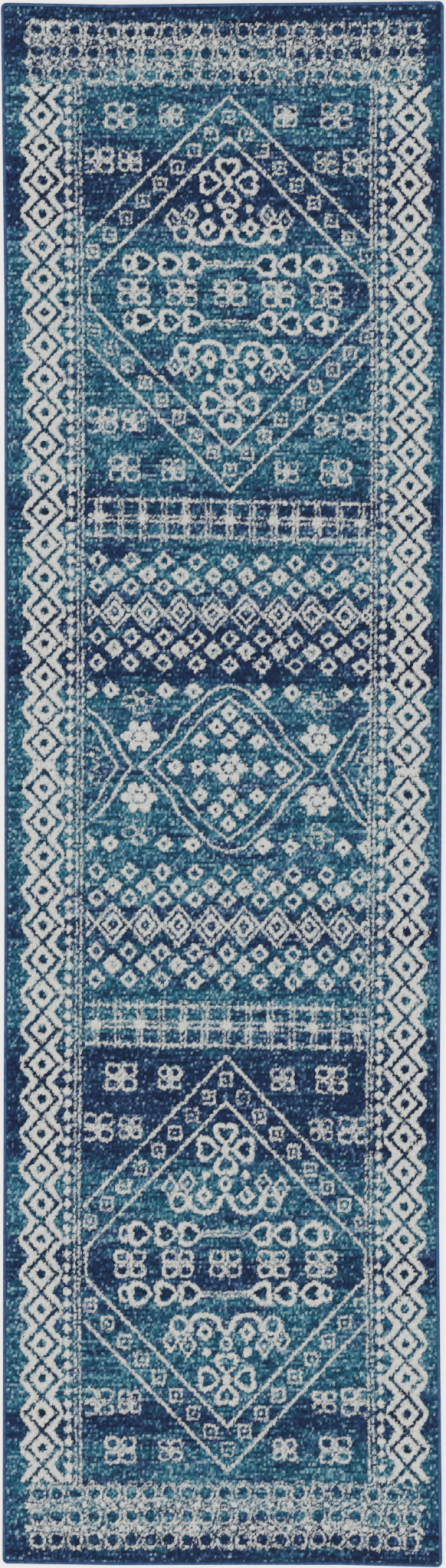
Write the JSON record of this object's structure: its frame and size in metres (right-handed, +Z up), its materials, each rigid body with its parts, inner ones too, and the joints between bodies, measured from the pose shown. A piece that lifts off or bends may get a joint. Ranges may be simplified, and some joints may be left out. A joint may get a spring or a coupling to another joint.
{
  "type": "runner rug",
  "caption": "Long narrow woven rug with a cut pile in a diamond and rosette design and overcast yarn edging.",
  "frame": {"origin": "on the floor under the middle of the rug", "axes": "+X across the width, +Y along the length, +Z up through the pile"},
  "size_m": [0.686, 2.438, 0.0095],
  "materials": {
    "pile": "cut pile yarn in navy, teal and ivory",
    "ground": "plain woven jute and polyester",
    "size": "dried latex size on the weave",
    "serging": "wrapped blue yarn",
    "core": "twisted cotton cord"
  },
  "bodies": {
    "root": {"back_size": "size", "woven_ground": "ground", "far_band_pile": "pile", "near_band_pile": "pile", "left_border_pile": "pile", "right_border_pile": "pile", "field_pile": "pile", "right_serging": "serging", "left_serging": "serging", "far_serging": "serging", "near_serging": "serging", "far_right_corner": "serging", "near_left_corner": "serging", "far_left_corner": "serging", "near_right_corner": "serging", "right_edge_cord": "core", "left_edge_cord": "core", "far_edge_cord": "core", "near_edge_cord": "core"}
  },
  "joints": []
}
